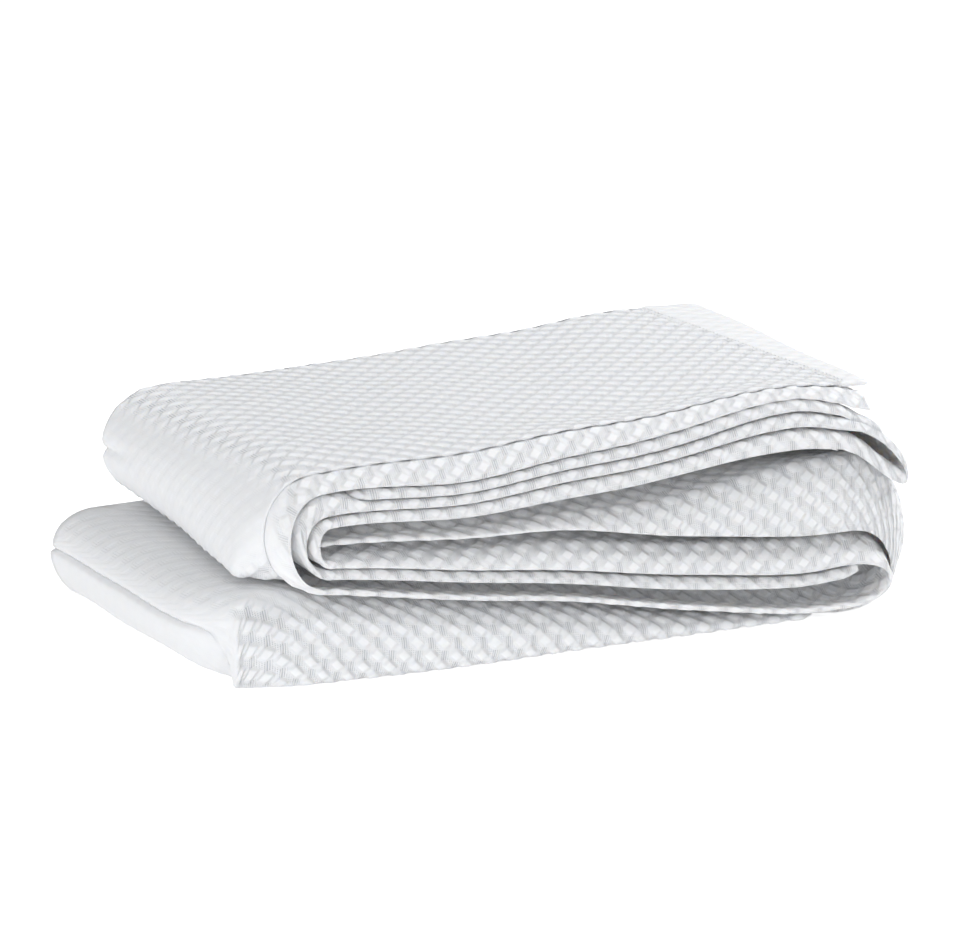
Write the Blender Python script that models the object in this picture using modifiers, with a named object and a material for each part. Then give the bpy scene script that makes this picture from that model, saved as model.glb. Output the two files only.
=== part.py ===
"""A matelasse coverlet: one woven sheet, folded back and forth into two tiers.

The sheet is an open surface that follows its folds, and Solidify gives it its thickness.
A ply is one layer of the stack, and a turn joins two plies at the left or right end.
X runs along the stack, Y from the front edges to the back folds, and Z is up.
The tables are in millimetres. The mesh is in metres, with its origin under the middle.
"""
import math

import bmesh
import bpy
from mathutils import Vector

MM = 0.001
SHEET = 3.2                     # thickness of the cloth
FLOOR = SHEET / 2               # height of the middle of the bottom ply
BACK = 256.0                    # where the plies end at the back
MARGIN = 46.0                   # how far in from the front line the edges sag
SAG_POWER = 1.6                 # how sharply they do
TUCK = 13.0                     # how far the closed front turns under itself
FRONT_GAP = (20.0, 28.0)        # from the closed front to the bottom ply behind it, left and right
FRONT_ENDS = (320.0, 380.0)     # where the closed front ends
FLOOR_ENDS = (331.0, 401.0)     # where the bottom ply comes out to its line
LEFT_TUCK = 32.0                # over this length at the left the closed front gets flatter
LEFT_INSET = 0.3                # down to this share of its form
SHUT_TURN = (0.55, 0.95)        # the part of the way round the left turn over which it ends
APRON_DEPTH = 13.0              # how far back an apron at a front edge goes
APRON_POWER = 1.25              # how sharply it bends down
APRON_REST = 5.0                # an apron starts this far below the ply above
LEAN_BACK = 6.0                 # how far the upper tier's left end moves in at the back
LEAN_WIDTH = 130.0              # over this much of its length
CURL_POWER = 1.5                # how sharply the front of a turn curls round a corner
DROOP_POWER = 1.6               # how sharply a sagging turn drops
FOLD_ROWS = 2                   # rows of points round a fold at the back

# Places along X where every ply has a point.
STATIONS = (25.0, 60.0, 95.0, 135.0, 180.0, 230.0, 280.0, 330.0, 370.0, 402.0, 428.0)

# Shares of the way from a ply's front edge to its back edge.
ROWS = (0.0, 0.014, 0.035, 0.065, 0.105, 0.165, 0.27, 0.45, 0.65, 0.85, 1.0)

# The closed front, row by row: distance in from its line, and share of its height.
FRONT_FORM = ((TUCK, 0.0), (1.5, 0.02), (-4.0, 0.38), (-1.0, 0.82), (8.0, 1.0))

# The columns of the next two tables, along X.
ALONG = (-6.0, 25.0, 70.0, 150.0, 230.0, 310.0, 390.0, 440.0)

PROFILES = {
    "front line":   (8.0, 8.0, 6.0, -3.0, -7.0, -10.0, -10.0, -6.0),
    "closed front": (5.0, -9.0, -15.0, -21.0, -20.0, -21.0, -20.0, -17.0),
    "stack top":    (138.0, 138.0, 140.0, 141.0, 144.0, 150.0, 156.0, 151.0),
    "tier top":     (60.0, 60.0, 60.0, 57.0, 49.0, 37.0, 21.0, 16.0),
}

# Heights of the front edges, from the top of the stack down.
EDGES = {
    "T0": (130.0, 130.0, 136.2, 138.8, 146.5, 153.0, 160.0, 154.5),
    "T1": (120.0, 120.0, 125.0, 122.6, 131.8, 142.3, 154.2, 142.5),
    "T2": (113.0, 113.0, 117.0, 115.3, 123.6, 132.4, 145.2, 134.5),
    "T3": (106.0, 106.0, 110.0, 108.4, 115.8, 124.1, 134.6, 125.5),
    "T4": (98.0, 98.0, 102.2, 99.8, 104.8, 112.7, 119.6, 113.0),
    "B1": (90.0, 90.0, 90.2, 85.8, 82.3, 69.6, 60.6, 58.0),
    "B2": (78.0, 78.0, 75.0, 65.6, 56.1, 44.4, 35.4, 36.0),
    "C1": (71.0, 71.0, 67.0, 57.2, 46.9, 34.2, 26.2, 27.0),
    "C2": (66.0, 66.0, 58.2, 47.0, 36.6, 22.0, 9.6, 6.8),
    "D0": (72.0, 72.0, 57.0, 42.0, 31.8, 17.4, 7.4, 6.2),
    "P1": (59.0, 59.0, 49.0, 37.8, 27.6, 13.4, 5.7, 4.9),
}


def ply(left, right, setback, apron=(0.0, 0.0), tier="upper", last=10):
    """One ply. Its height inside its tier is a share, at the left and right ends. Its front edge is set
    back from the front line, and an apron at its front takes a share of the step from the ply above.
    A lower ply starts at the first station, an upper one at the second."""
    first = 1 if tier == "upper" else 0
    return dict(left=left, right=right, setback=setback, apron=apron, tier=tier, first=first, last=last)


# Setbacks and aprons are at the left and right ends too.
PLIES = {
    "T0": ply(1.00, 1.00, setback=(0.0, 0.0)),
    "T1": ply(0.93, 0.95, setback=(-12.0, -12.0), apron=(0.9, 1.0)),
    "T2": ply(0.86, 0.90, setback=(-9.0, -9.0)),
    "T3": ply(0.79, 0.85, setback=(-10.0, -10.0)),
    "T4": ply(0.71, 0.78, setback=(-10.0, -10.0)),
    "B1": ply(0.58, 0.60, setback=(-10.0, -10.0), apron=(0.0, 0.9)),
    "B2": ply(0.45, 0.22, setback=(-13.0, -13.0), apron=(0.3, 0.9)),
    "C1": ply(0.32, 0.16, setback=(-12.0, -12.0)),
    "C2": ply(0.20, 0.10, setback=(-14.0, -14.0)),
    "D0": ply(0.075, 0.05, setback=(34.0, 34.0)),
    "P1": ply(1.00, 1.00, setback=(34.0, 34.0), tier="lower"),
    "P2": ply(0.875, 0.875, setback=(44.0, 44.0), tier="lower", last=6),
    "P3": ply(0.75, 0.75, setback=(44.0, 44.0), tier="lower", last=5),
    "P4": ply(0.62, 0.62, setback=(8.0, 80.0), tier="lower", last=5),
    "P5": ply(0.48, 0.50, setback=(14.0, 80.0), tier="lower", last=5),
    "P6": ply(0.35, 0.38, setback=(44.0, 44.0), tier="lower", last=5),
    "P7": ply(0.22, 0.25, setback=(44.0, 44.0), tier="lower", last=6),
    "P8": ply(0.0, 0.0, setback=(0.0, 0.0), tier="lower"),
}

# Free ends: their place along X at the front and at the back, and how far they drop.
FREE_ENDS = {
    "T0 right": dict(front=457.0, back=477.0, drop=1.5),
    "T1 right": dict(front=452.0, back=470.0, drop=5.0),
    "T2 right": dict(front=461.0, back=468.0, drop=16.0),
    "C1 right": dict(front=440.0, back=445.0, drop=-3.0),
    "B1 left": dict(front=53.0, back=54.0, drop=0.5),
}


def turn(front, inside, back=None, square=0.8, peak=0.5, edge_peak=None, sag=0.0, fat=0.0, lean=0.0,
         late=1.0, curl=0.0, points=2):
    """One turn: where it reaches to along X at the front, inside and at the back, how square it is (1 is
    round, less is squarer), where its reach is inside, and at its front and back edges (0.5 is half way
    round), how far it sags there, how fat its loop is, how far it leans over in degrees, how late its edge
    moves to the next ply's line, over what depth its front curls round a corner, and its points."""
    return dict(front=front, inside=inside, back=inside if back is None else back, square=square,
                peak=peak, edge_peak=peak if edge_peak is None else edge_peak, sag=sag, fat=fat,
                lean=lean, late=late, curl=curl, points=points)


TURNS = {
    "T0 D0": turn(18.0, 4.0, back=9.0, peak=0.85, edge_peak=0.5, late=7.0, curl=18.0, points=10),
    "T1 C2": turn(23.0, 28.0, back=40.0, points=7),
    "T3 C1": turn(35.0, 37.0, back=46.0, points=6),
    "T4 B2": turn(45.0, 45.0, back=52.0, points=5),
    "T3 T4": turn(479.0, 474.0, square=0.7, sag=36.0, fat=0.5, lean=50.0, points=8),
    "P8 B1": turn(472.0, 494.0, square=0.75, peak=0.42, points=8),
    "B2 C2": turn(462.0, 458.0, points=5),
    "D0 P1": turn(441.0, 441.0),
    "P1 P4": turn(-5.0, -22.0, square=0.6, peak=0.7, points=7),
    "P5 P8": turn(-2.0, -24.0, square=0.6, peak=0.25, sag=-1.6, fat=0.15, points=7),
    "P4 P3": turn(238.0, 238.0),
    "P3 P2": turn(14.0, 14.0),
    "P2 P7": turn(297.0, 297.0, points=4),
    "P7 P6": turn(14.0, 14.0),
    "P6 P5": turn(238.0, 238.0),
}

# The cloth's three lengths, ply by ply, and the pairs of plies that a fold at the back joins.
RUNS = (
    ("T0", "D0", "P1", "P4", "P3", "P2", "P7", "P6", "P5", "P8", "B1"),
    ("C1", "T3", "T4", "B2", "C2", "T1"),
    ("T2",),
)
ABOVE = {"T1": "T0", "B1": "T4", "B2": "B1"}
BACK_FOLDS = (("T0", "T1"), ("T2", "T3"), ("B2", "C1"), ("C2", "D0"), ("P1", "P2"), ("P4", "P3"),
              ("P5", "P6"), ("P7", "P8"))


def mix(a, b, share):
    return a + (b - a) * share


def clamp(value):
    return min(1.0, max(0.0, value))


def ease(value):
    value = clamp(value)
    return value * value * (3.0 - 2.0 * value)


def along(heights, x):
    """A smooth curve through a row of a table, read at x."""
    x = min(max(x, ALONG[0]), ALONG[-1])
    count = len(ALONG)
    i = max(k for k in range(count - 1) if ALONG[k] <= x)

    def slope(k):
        lo, hi = max(k - 1, 0), min(k + 1, count - 1)
        return (heights[hi] - heights[lo]) / (ALONG[hi] - ALONG[lo])

    width = ALONG[i + 1] - ALONG[i]
    t = (x - ALONG[i]) / width
    bend = t * (1 - t) * width
    start, end = slope(i), slope(i + 1)
    return mix(heights[i], heights[i + 1], ease(t)) + bend * ((1 - t) * start - t * end)


def front_line(x):
    return along(PROFILES["front line"], x)


def sag_share(x, y):
    """1 at the front line, 0 from MARGIN inwards."""
    return clamp(1.0 - (y - front_line(x)) / MARGIN) ** SAG_POWER


def right_share(x):
    return clamp((x - STATIONS[1]) / (STATIONS[-1] - STATIONS[1]))


def ply_heights(name, x):
    """A ply's height at its front edge, at its front line and inside the stack."""
    own = PLIES[name]
    share = mix(own["left"], own["right"], right_share(x))
    tier = along(PROFILES["tier top"], x)
    if own["tier"] == "lower":
        line = mix(FLOOR, along(EDGES["P1"], x), share)
        return line, line, mix(FLOOR, tier, share)
    edge = along(EDGES[name], x)
    line = edge
    if name in ABOVE:
        line += mix(*own["apron"], right_share(x)) * (along(EDGES[ABOVE[name]], x) - APRON_REST - edge)
    return edge, line, mix(tier, along(PROFILES["stack top"], x), share)


def ply_front(name, x):
    """Y of a ply's front edge."""
    if name == "P8":
        start, end = FLOOR_ENDS
        gap = mix(*FRONT_GAP, right_share(x)) * (1.0 - ease((x - start) / (end - start)))
        return along(PROFILES["closed front"], x) + gap
    return front_line(x) + mix(*PLIES[name]["setback"], right_share(x)) * (1.0 - closed_share(name, x))


def closed_share(name, x):
    """How far a ply's front rows form the closed front: 1 wholly, 0 not at all."""
    start, end = FRONT_ENDS
    return 1.0 - ease((x - start) / (end - start)) if name == "P1" else 0.0


def lean(name, x, y):
    """The upper tier's left end moves in towards the back."""
    if PLIES[name]["tier"] != "upper":
        return 0.0
    return LEAN_BACK * ease(y / BACK) * ease(1.0 - (x - STATIONS[1]) / LEAN_WIDTH)


def stand(x, edge, heights, closed, name, curl=0.0):
    """The row of points, front to back, at one place on the cloth. x is its place along the stack at the
    front, inside and at the back."""
    front_x, inner_x, back_x = x
    points = []
    for row, share in enumerate(ROWS):
        y = mix(edge, BACK, share)
        apron = clamp(1.0 - (y - edge) / APRON_DEPTH) ** APRON_POWER
        shaped = row < len(FRONT_FORM)
        if shaped:
            inset, height = FRONT_FORM[row]
            inset *= mix(LEFT_INSET, 1.0, ease((front_x - ALONG[0]) / LEFT_TUCK))
            y = mix(y, along(PROFILES["closed front"], front_x) + inset, closed)
        sag = sag_share(front_x, y)
        pull = clamp(1.0 - (y - edge) / curl) ** CURL_POWER if curl else sag
        at = mix(mix(inner_x, front_x, pull), back_x, clamp(y / BACK))
        z = mix(heights[2], heights[1], sag) - (heights[1] - heights[0]) * apron
        if shaped:
            z = mix(z, mix(FLOOR, heights[1], height), closed)
        points.append(Vector((at + lean(name, at, y), y, z)))
    return points


def ply_rows(name):
    own = PLIES[name]
    rows = []
    for x in STATIONS[own["first"]:own["last"] + 1]:
        rows.append(stand((x, x, x), ply_front(name, x), ply_heights(name, x), closed_share(name, x), name))
    return rows


def end_rows(name, side):
    """One more row, at the free end of a ply."""
    place = name + " " + side
    if place not in FREE_ENDS:
        return []
    end = FREE_ENDS[place]
    x = end["front"]
    heights = [height - end["drop"] for height in ply_heights(name, x)]
    points = stand((x, x, x), ply_front(name, x), heights, 0.0, name)
    for point in points:
        point.x += (end["back"] - end["front"]) * clamp(point.y / BACK)
    return [points]


def reach_share(t, peak):
    """How far out a turn is, from 0 to 1, at a share t of the way round it."""
    return math.sin(math.pi * (0.5 * t / peak if t < peak else 0.5 + 0.5 * (t - peak) / (1.0 - peak)))


def turn_rows(first, second, side):
    """The rows round the end fold from one ply to the next."""
    flipped = first + " " + second not in TURNS
    shape = TURNS[second + " " + first if flipped else first + " " + second]
    pick = "first" if side == "left" else "last"
    start, end = (STATIONS[PLIES[name][pick]] for name in (first, second))
    ends = list(zip(ply_heights(first, start), ply_heights(second, end)))
    peaks = [1.0 - shape[peak] if flipped else shape[peak] for peak in ("peak", "edge_peak")]
    closed = (closed_share(first, start), closed_share(second, end))
    edges = (ply_front(first, start), ply_front(second, end))
    rows = []
    for k in range(1, shape["points"] + 1):
        t = k / (shape["points"] + 1)
        out, edge_out = (reach_share(t, peak) ** shape["square"] for peak in peaks)
        down = (1.0 - math.cos(math.pi * t)) / 2.0
        tilt = math.radians(shape["lean"]) * out
        drop = shape["sag"] * out ** DROOP_POWER
        base = mix(start, end, down)
        across = [(low - high) * (down - 0.5) * (1.0 + shape["fat"] * out) for high, low in ends]
        reach = ((shape["front"], edge_out), (shape["inside"], out), (shape["back"], edge_out))
        gaps = (across[0], across[2], across[2])
        x = [mix(base, to, part) + gap * math.sin(tilt) for (to, part), gap in zip(reach, gaps)]
        heights = [(high + low) / 2.0 + gap * math.cos(tilt) - drop for (high, low), gap in zip(ends, across)]
        shut = mix(*closed, clamp((t - SHUT_TURN[0]) / (SHUT_TURN[1] - SHUT_TURN[0])))
        edge = mix(edges[0], edges[1], ease(t ** shape["late"]))
        rows.append(stand(x, edge, heights, shut, first if down < 0.5 else second, shape["curl"]))
    return rows


def run_rows(names):
    """All the rows of one length of cloth, with the plies' own rows by ply and station."""
    rows = []
    places = {}
    for k, name in enumerate(names):
        leftwards = k % 2 == 0
        sides = ("right", "left") if leftwards else ("left", "right")
        if k == 0:
            rows += end_rows(name, sides[0])
        own = ply_rows(name)
        stations = list(range(PLIES[name]["first"], PLIES[name]["last"] + 1))
        if leftwards:
            own.reverse()
            stations.reverse()
        for count, station in enumerate(stations):
            places[name, station] = len(rows) + count
        rows += own
        if k + 1 < len(names):
            rows += turn_rows(name, names[k + 1], sides[1])
        else:
            rows += end_rows(name, sides[1])
    return rows, places


def add_grid(bm, rows):
    grid = [[bm.verts.new(point) for point in row] for row in rows]
    for one, two in zip(grid, grid[1:]):
        for k in range(len(ROWS) - 1):
            bm.faces.new((one[k], one[k + 1], two[k + 1], two[k]))
    return grid


def add_back_fold(bm, upper, lower):
    """A fold at the back, from one ply's back edge round to the next one's."""
    strips = []
    for top, bottom in zip(upper, lower):
        middle = (top.co + bottom.co) / 2
        arm = (top.co - bottom.co) / 2
        strip = [top]
        for k in range(1, FOLD_ROWS + 1):
            angle = math.pi * k / (FOLD_ROWS + 1)
            out = Vector((0.0, arm.length * math.sin(angle), 0.0))
            strip.append(bm.verts.new(middle + arm * math.cos(angle) + out))
        strips.append(strip + [bottom])
    for one, two in zip(strips, strips[1:]):
        for k in range(FOLD_ROWS + 1):
            bm.faces.new((one[k], one[k + 1], two[k + 1], two[k]))


def build_sheet():
    """The folded cloth as an open surface."""
    bm = bmesh.new()
    edges = {}
    for names in RUNS:
        rows, places = run_rows(names)
        grid = add_grid(bm, rows)
        for place, row in places.items():
            edges[place] = grid[row][-1]
    for upper, lower in BACK_FOLDS:
        shared = [k for k in range(len(STATIONS)) if (upper, k) in edges and (lower, k) in edges]
        add_back_fold(bm, [edges[upper, k] for k in shared], [edges[lower, k] for k in shared])
    bmesh.ops.recalc_face_normals(bm, faces=bm.faces)
    bmesh.ops.scale(bm, vec=(MM, MM, MM), verts=bm.verts)
    mesh = bpy.data.meshes.new("coverlet")
    bm.to_mesh(mesh)
    bm.free()
    return mesh


def cloth_material():
    material = bpy.data.materials.new("white cotton")
    material.use_nodes = True
    shader = material.node_tree.nodes["Principled BSDF"]
    shader.inputs["Base Color"].default_value = (0.80, 0.81, 0.83, 1.0)
    shader.inputs["Roughness"].default_value = 0.9
    shader.inputs["Metallic"].default_value = 0.0
    return material


def centre(obj):
    """Move the mesh so that the origin is under the middle of the finished cloth."""
    bpy.context.view_layer.update()
    shape = obj.evaluated_get(bpy.context.evaluated_depsgraph_get())
    corners = [Vector(corner) for corner in shape.bound_box]
    low = Vector([min(corner[k] for corner in corners) for k in range(3)])
    high = Vector([max(corner[k] for corner in corners) for k in range(3)])
    for vertex in obj.data.vertices:
        vertex.co -= Vector(((low.x + high.x) / 2, (low.y + high.y) / 2, low.z))


def main():
    for obj in list(bpy.data.objects):
        bpy.data.objects.remove(obj)
    collection = bpy.data.collections.new("folded coverlet")
    bpy.context.scene.collection.children.link(collection)
    coverlet = bpy.data.objects.new("coverlet", build_sheet())
    collection.objects.link(coverlet)
    coverlet.data.materials.append(cloth_material())
    coverlet.data.shade_smooth()
    thickness = coverlet.modifiers.new("thickness", "SOLIDIFY")
    thickness.thickness = SHEET * MM
    thickness.offset = 0.0
    thickness.use_quality_normals = True
    centre(coverlet)


main()
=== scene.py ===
"""The looks of a folded matelasse coverlet: one woven sheet, in the folds of its solid.

The sheet is built here again with many more points, so that its folds are soft and its weave stands
up from the cloth. X runs along the stack, Y from the front edges to the back folds, and Z is up.
The tables are in millimetres, with their origin at the stack's front left corner. HOME moves them
into the frame. A ply is one layer, and a turn joins two plies at the left or right end.
"""
import math

import bmesh
import bpy
import numpy as np
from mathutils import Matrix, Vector


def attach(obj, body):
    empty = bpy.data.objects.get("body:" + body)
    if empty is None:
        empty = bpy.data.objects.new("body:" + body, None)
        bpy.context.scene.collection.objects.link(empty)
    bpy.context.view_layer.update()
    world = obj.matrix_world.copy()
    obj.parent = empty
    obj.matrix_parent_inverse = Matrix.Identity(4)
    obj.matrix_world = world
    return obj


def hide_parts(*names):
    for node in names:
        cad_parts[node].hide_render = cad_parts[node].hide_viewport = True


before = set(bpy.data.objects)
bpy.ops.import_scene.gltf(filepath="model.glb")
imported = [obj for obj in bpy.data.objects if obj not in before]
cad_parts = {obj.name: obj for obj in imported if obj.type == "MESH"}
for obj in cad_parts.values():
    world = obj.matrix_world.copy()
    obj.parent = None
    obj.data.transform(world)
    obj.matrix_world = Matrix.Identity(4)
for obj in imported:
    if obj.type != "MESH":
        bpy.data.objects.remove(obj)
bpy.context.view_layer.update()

MM = 0.001
HOME = np.array((235.06, 118.16, 0.0))   # the frame's origin in the tables' place

# ---------------------------------------------------------------- sizes of the fold

FLOOR = 1.6                     # height of the middle of the bottom ply
BACK = 256.0                    # where the plies end at the back
MARGIN = 46.0                   # how far in from the front line the edges sag
SAG_POWER = 1.6                 # how sharply they do
FRONT_GAP = (20.0, 28.0)        # from the closed front to the bottom ply behind it, left and right
FRONT_ENDS = (400.0, 430.0)     # where the closed front ends
FLOOR_ENDS = (385.0, 425.0)     # where the bottom ply comes out to its line
LEFT_TUCK = 32.0                # over this length at the left the closed front gets flatter
LEFT_INSET = 0.3                # down to this share of its form
SHUT_TURN = (0.55, 0.95)        # the part of the way round the left turn over which it ends
APRON_DEPTH = 13.0              # how far back an apron at a front edge goes
APRON_POWER = 1.25              # how sharply it bends down
APRON_REST = 2.5                # an apron starts this far below the ply above
LEAN_BACK = 6.0                 # how far the upper tier's left end moves in at the back
LEAN_WIDTH = 130.0              # over this much of its length
CURL_POWER = 1.5                # how sharply the front of a turn curls round a corner
DROOP_POWER = 1.6               # how sharply a sagging turn drops
LEFT_END = 60.0                 # the shares of plies and setbacks run from here
RIGHT_END = 428.0               # to here
LOWER_LEFT = 25.0               # where the lower tier's plies start

# The closed front: share of the way up its face, distance in from its line, share of its height.
FRONT_FORM = (
    (0.0, 13.0, 0.0),
    (0.16, 1.5, 0.02),
    (0.42, -4.0, 0.38),
    (0.66, 0.0, 0.68),
    (0.84, 8.0, 0.88),
    (1.0, 19.0, 1.0),
)

# The columns of the next two tables, along X.
ALONG = (-6.0, 25.0, 70.0, 150.0, 230.0, 310.0, 390.0, 440.0)

PROFILES = {
    "front line":   (8.0, 8.0, 6.0, -3.0, -7.0, -10.0, -10.0, -6.0),
    "closed front": (5.0, -9.0, -15.0, -21.0, -20.0, -21.0, -20.0, -17.0),
    "stack top":    (138.0, 138.0, 140.0, 141.0, 143.0, 147.5, 153.5, 155.0),
    "tier top":     (60.0, 60.0, 60.0, 57.0, 49.0, 37.0, 21.0, 16.0),
}

# Heights of the front edges, from the top of the stack down.
EDGES = {
    "T0": (130.0, 130.0, 136.2, 138.8, 146.5, 153.0, 160.0, 154.5),
    "T1": (120.0, 120.0, 125.0, 122.6, 131.8, 142.3, 154.2, 142.5),
    "T2": (113.0, 113.0, 117.0, 115.3, 123.6, 132.4, 145.2, 134.5),
    "T3": (106.0, 106.0, 110.0, 108.4, 115.8, 124.1, 134.6, 125.5),
    "T4": (98.0, 98.0, 102.2, 99.8, 104.8, 112.7, 119.6, 113.0),
    "B1": (90.0, 90.0, 90.2, 85.8, 82.3, 69.6, 60.6, 58.0),
    "B2": (78.0, 78.0, 75.0, 65.6, 56.1, 44.4, 35.4, 36.0),
    "C1": (71.0, 71.0, 67.0, 57.2, 46.9, 34.2, 26.2, 27.0),
    "C2": (66.0, 66.0, 58.2, 47.0, 36.6, 22.0, 9.6, 6.8),
    "D0": (72.0, 72.0, 57.0, 42.0, 31.8, 17.4, 7.4, 6.2),
    "P1": (59.0, 59.0, 49.0, 37.8, 27.6, 13.4, 5.7, 4.9),
}


def ply(left, right, setback, apron=(0.0, 0.0), bend=APRON_DEPTH, tier="upper", end=RIGHT_END,
        weave="hidden", step=18.0):
    """One ply. Its height inside its tier is a share, at the left and right ends. Its front edge is set
    back from the front line, and an apron at its front, bent over this depth, takes a share of the step
    from the ply above. weave says which rows of points it has, and step how far apart its columns are."""
    start = LEFT_END if tier == "upper" else LOWER_LEFT
    return dict(left=left, right=right, setback=setback, apron=apron, bend=bend, tier=tier, start=start,
                end=end, weave=weave, step=step)


PLIES = {
    "T0": ply(1.00, 1.00, (0.0, 0.0), weave="open", step=2.7),
    "T1": ply(0.93, 0.95, (-12.0, -12.0), apron=(1.0, 1.0), weave="band", step=3.0),
    "T2": ply(0.86, 0.90, (-13.0, -13.5), apron=(1.0, 1.0), bend=4.0, weave="rim", step=4.8),
    "T3": ply(0.79, 0.85, (-14.0, -14.5), apron=(1.0, 1.0), bend=4.0, weave="rim", step=4.8),
    "T4": ply(0.71, 0.78, (-15.0, -16.0), apron=(1.0, 1.0), bend=4.0, weave="rim", step=4.8),
    "B1": ply(0.58, 0.60, (-11.0, -18.0), apron=(0.0, 0.9), bend=10.0, weave="band", step=3.0),
    "B2": ply(0.45, 0.22, (-17.0, -20.0), apron=(0.4, 1.0), weave="band", step=3.0),
    "C1": ply(0.32, 0.16, (-17.0, -20.0), apron=(0.9, 0.9), bend=4.0, weave="rim", step=4.8),
    "C2": ply(0.20, 0.10, (-19.0, -22.0), weave="rim", step=4.8),
    "D0": ply(0.075, 0.05, (34.0, 34.0)),
    "P1": ply(1.00, 1.00, (34.0, 34.0), tier="lower", weave="face", step=2.6),
    "P2": ply(0.875, 0.875, (44.0, 44.0), tier="lower", end=280.0),
    "P3": ply(0.75, 0.75, (44.0, 44.0), tier="lower", end=230.0),
    "P4": ply(0.57, 0.60, (6.0, 80.0), tier="lower", end=230.0),
    "P5": ply(0.52, 0.50, (9.0, 80.0), tier="lower", end=230.0),
    "P6": ply(0.35, 0.38, (44.0, 44.0), tier="lower", end=230.0),
    "P7": ply(0.22, 0.25, (44.0, 44.0), tier="lower", end=280.0),
    "P8": ply(0.0, 0.0, (0.0, 0.0), tier="lower"),
}

END_POWER = 1.5                 # how sharply a free end drops

# Free ends: their place along X at the front and at the back, and how far they drop.
FREE_ENDS = {
    "T0 right": dict(front=457.0, back=477.0, drop=1.5),
    "T1 right": dict(front=452.0, back=470.0, drop=5.0),
    "T2 right": dict(front=461.0, back=468.0, drop=16.0),
    "C1 right": dict(front=440.0, back=445.0, drop=-3.0),
    "B1 left": dict(front=53.0, back=54.0, drop=0.5),
}


def turn(front, inside, back=None, square=0.8, peak=0.5, edge_peak=None, sag=0.0, fat=0.0, lean=0.0,
         late=1.0, curl=0.0, weave="hidden", points=5):
    """One turn: where it reaches to along X at the front, inside and at the back, how square it is (1 is
    round, less is squarer), where its reach is inside, and at its front and back edges (0.5 is half way
    round), how far it sags there, how fat its loop is, how far it leans over in degrees, how late its edge
    moves to the next ply's line, over what depth its front curls round a corner, its rows of points and
    how many columns it has."""
    return dict(front=front, inside=inside, back=inside if back is None else back, square=square,
                peak=peak, edge_peak=peak if edge_peak is None else edge_peak, sag=sag, fat=fat,
                lean=lean, late=late, curl=curl, weave=weave, points=points)


TURNS = {
    "T0 D0": turn(18.0, 4.0, back=9.0, peak=0.85, edge_peak=0.5, late=7.0, curl=18.0, weave="open",
                  points=40),
    "T1 C2": turn(29.0, 19.0, back=40.0, curl=12.0, weave="band", points=30),
    "T3 C1": turn(40.0, 32.0, back=46.0, curl=10.0, weave="rim", points=20),
    "T4 B2": turn(49.5, 42.5, back=52.0, curl=9.0, weave="rim", points=14),
    "T3 T4": turn(479.0, 474.0, square=0.7, sag=36.0, fat=0.7, lean=50.0, weave="side", points=20),
    "P8 B1": turn(469.0, 494.0, square=0.75, peak=0.42, curl=30.0, weave="side", points=32),
    "B2 C2": turn(465.0, 458.0, weave="rim", points=14),
    "D0 P1": turn(441.0, 441.0, square=1.0),
    "P1 P4": turn(-5.0, -22.0, square=0.5, peak=0.75, weave="roll", points=24),
    "P5 P8": turn(-2.0, -24.0, square=0.5, peak=0.2, sag=-1.6, fat=0.2, weave="roll", points=26),
    "P4 P3": turn(238.0, 238.0, square=1.0),
    "P3 P2": turn(14.0, 14.0, square=1.0),
    "P2 P7": turn(297.0, 297.0),
    "P7 P6": turn(14.0, 14.0, square=1.0),
    "P6 P5": turn(238.0, 238.0, square=1.0),
}

# The cloth's three lengths, ply by ply, and the pairs of plies that a fold at the back joins.
RUNS = (
    ("T0", "D0", "P1", "P4", "P3", "P2", "P7", "P6", "P5", "P8", "B1"),
    ("C1", "T3", "T4", "B2", "C2", "T1"),
    ("T2",),
)
# The ply that each apron reaches up to.
ABOVE = {"T1": "T0", "T2": "T1", "T3": "T2", "T4": "T3", "B1": "T4", "B2": "B1", "C1": "B2"}
BACK_FOLDS = (("T0", "T1"), ("T2", "T3"), ("B2", "C1"), ("C2", "D0"), ("P1", "P2"), ("P4", "P3"),
              ("P5", "P6"), ("P7", "P8"))
FOLD_ROWS = 5                   # rows of points round a fold at the back
FOLD_STEP = 9.0                 # how far apart its columns are
FOLD_WEAVE = 3.0                # how far apart its rows are on the cloth

# ---------------------------------------------------------------- rows of points, front to back

DEPTH = 248.0                   # about how deep a ply is
FRONT_ZONE = 30.0               # the closed front and the aprons are inside this much of it
RIM_ROWS = [0.5, 1.4, 2.7]      # the first points in from an edge, where the cloth gets thicker


def row_set(front_step, inner_step):
    """Places of the rows, in millimetres back from the front edge: close together at the rim."""
    rim = [0.0] + RIM_ROWS
    front = list(np.arange(rim[-1] + front_step, FRONT_ZONE - front_step / 2, front_step))
    count = max(1, round((DEPTH - FRONT_ZONE) / inner_step))
    inner = list(np.linspace(FRONT_ZONE, DEPTH, count + 1))
    return [round(place, 3) for place in rim + front + inner]


ROWS = {
    "open": row_set(2.4, 2.8),      # the puffs show over the whole of it
    "side": row_set(2.4, 5.0),
    "roll": row_set(1.4, 6.0),
    "face": row_set(1.1, 24.0),     # they show at its front only
    "band": row_set(2.4, 24.0),
    "rim": row_set(4.8, 36.0),
    "hidden": row_set(12.0, 44.0),
}
# How far back the puffs stand up from the cloth.
RAISED = {"open": DEPTH, "side": DEPTH, "roll": DEPTH, "face": FRONT_ZONE, "band": FRONT_ZONE,
          "rim": FRONT_ZONE, "hidden": 0.0}

# ---------------------------------------------------------------- the cloth and its weave

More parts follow.
